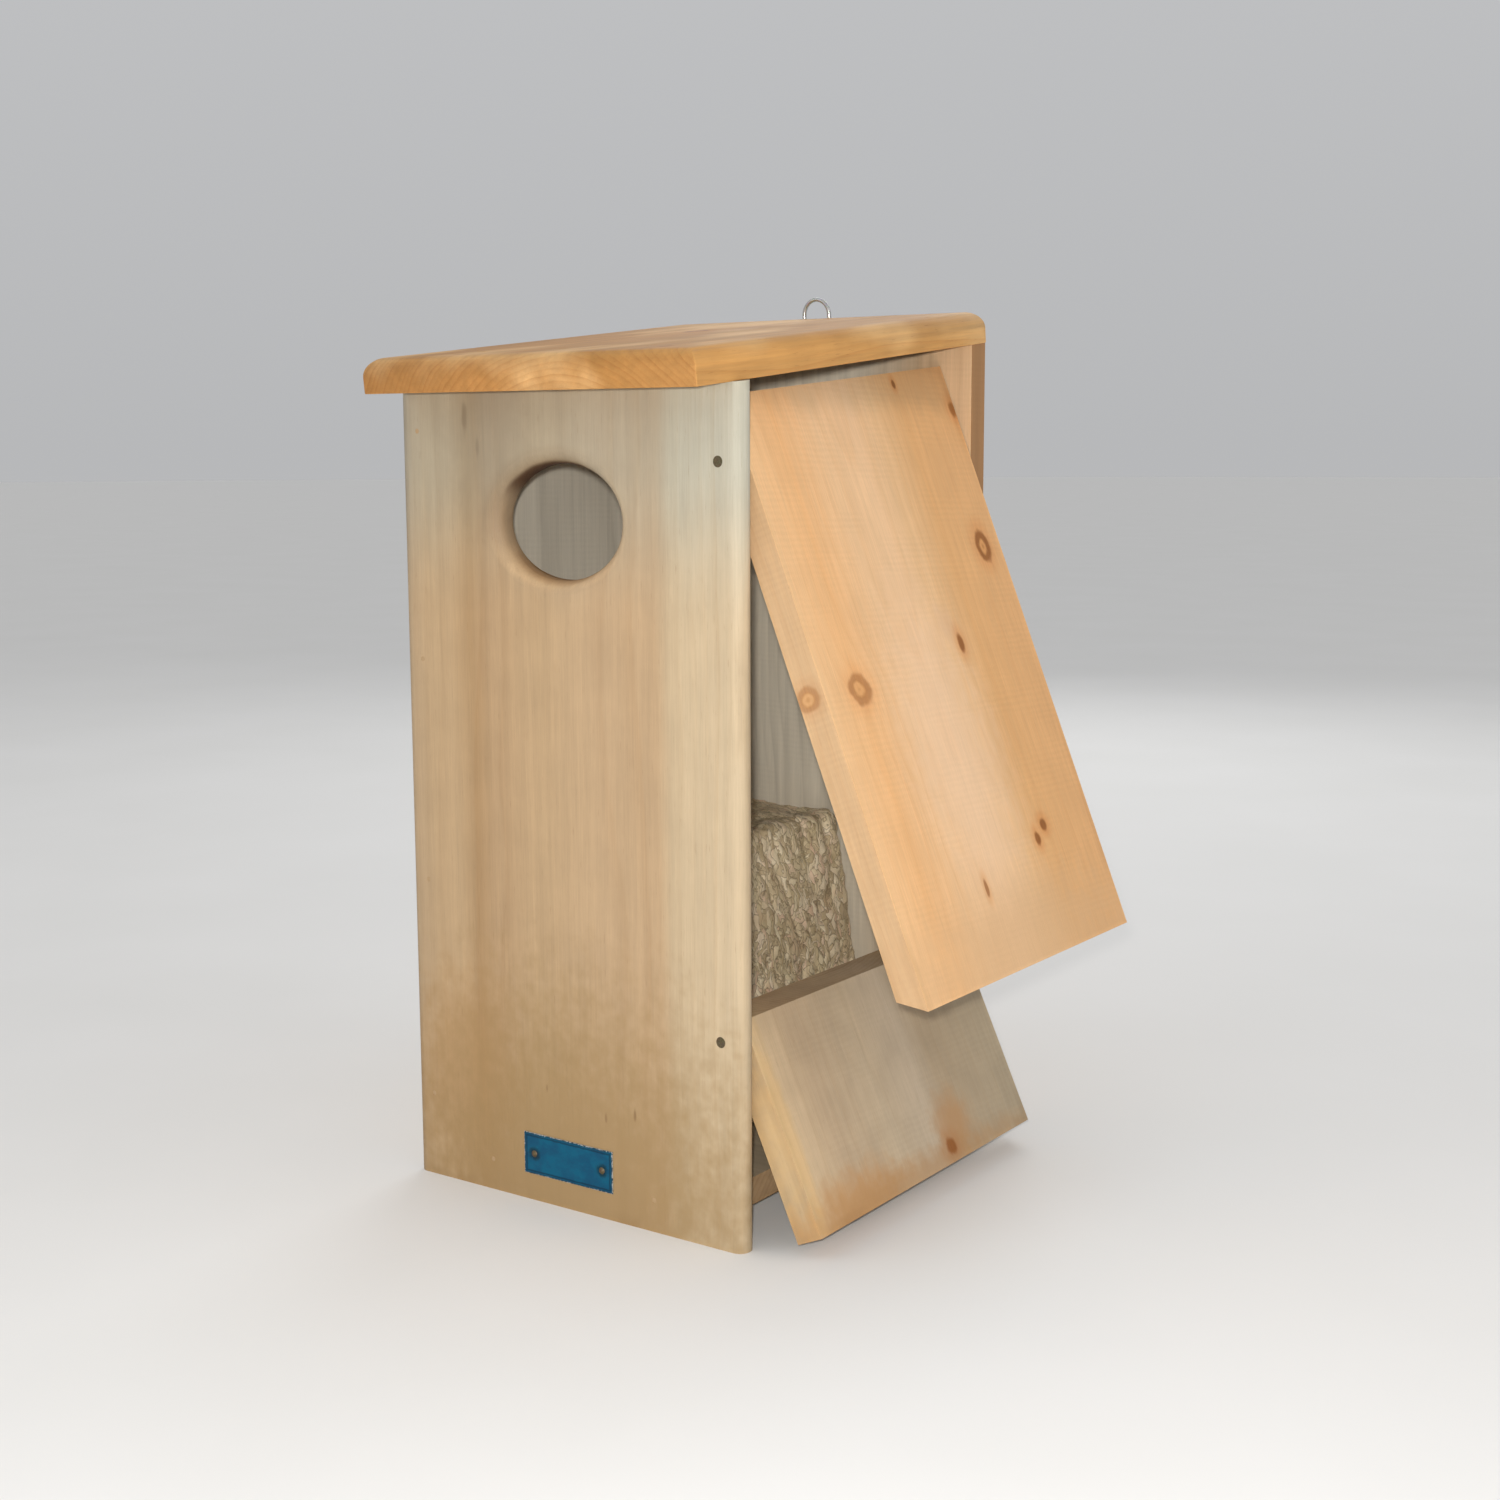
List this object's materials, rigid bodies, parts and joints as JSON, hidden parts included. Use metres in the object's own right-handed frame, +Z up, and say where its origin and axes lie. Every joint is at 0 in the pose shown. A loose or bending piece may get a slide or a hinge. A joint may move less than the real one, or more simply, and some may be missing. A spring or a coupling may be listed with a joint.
{
  "type": "birdhouse",
  "caption": "Plain board nest box with an oval entrance, sloped roof, two side doors that swing on nails, a floor with drain holes and a wire hanger",
  "frame": {"origin": "centre of the front panel's bottom end, on the plane the box stands on", "axes": "+Y from the front to the back panel, which is fastened to a wall or post; +Z up; +X towards the side doors"},
  "size_m": [0.4113, 0.3665, 0.6288],
  "materials": {
    "front_wood": "satin",
    "roof_wood": "satin",
    "door_wood": "satin",
    "lower_wood": "satin",
    "body_wood": "satin",
    "nail_steel": "satin",
    "hanger_steel": "satin",
    "mesh_steel": "satin",
    "label_blue": "satin",
    "shavings": "matte"
  },
  "bodies": {
    "box": {"front_panel": "front_wood", "back_panel": "body_wood", "left_side_panel": "body_wood", "floor_board": "body_wood", "roof_board": "roof_wood", "hanger_strap": "hanger_steel", "hanger_screws": "hanger_steel", "label_plate": "label_blue", "label_pins": "nail_steel", "ladder_mesh": "mesh_steel", "ladder_staples": "mesh_steel", "shavings_bag": "shavings", "front_side_nails": "nail_steel", "front_floor_nails": "nail_steel", "back_side_nails": "nail_steel", "back_floor_nails": "nail_steel", "side_floor_nails": "nail_steel", "roof_front_nails": "nail_steel", "roof_side_nails": "nail_steel", "roof_back_nails": "nail_steel", "upper_pivot_nail_front": "nail_steel", "upper_pivot_nail_rear": "nail_steel", "lower_pivot_nail_front": "nail_steel", "lower_pivot_nail_rear": "nail_steel"},
    "upper_door": {"upper_side_door": "door_wood"},
    "lower_door": {"lower_side_door": "lower_wood"},
    "ring": {"hanger_ring": "hanger_steel"}
  },
  "joints": [
    {"name": "upper_door_swing", "type": "hinge", "parent": "box", "child": "upper_door", "pos_m": [0.126, 0.15088, 0.5071], "axis": [0, -1, 0], "range_deg": [-21.8, 68.2]},
    {"name": "lower_door_swing", "type": "hinge", "parent": "box", "child": "lower_door", "pos_m": [0.126, 0.15088, 0.1392], "axis": [0, -1, 0], "range_deg": [-24.4, 50.6]},
    {"name": "hanger_ring_swing", "type": "hinge", "parent": "box", "child": "ring", "pos_m": [-0.0125, 0.31705, 0.60065], "axis": [-1, 0, 0], "range_deg": [0, 170]}
  ]
}
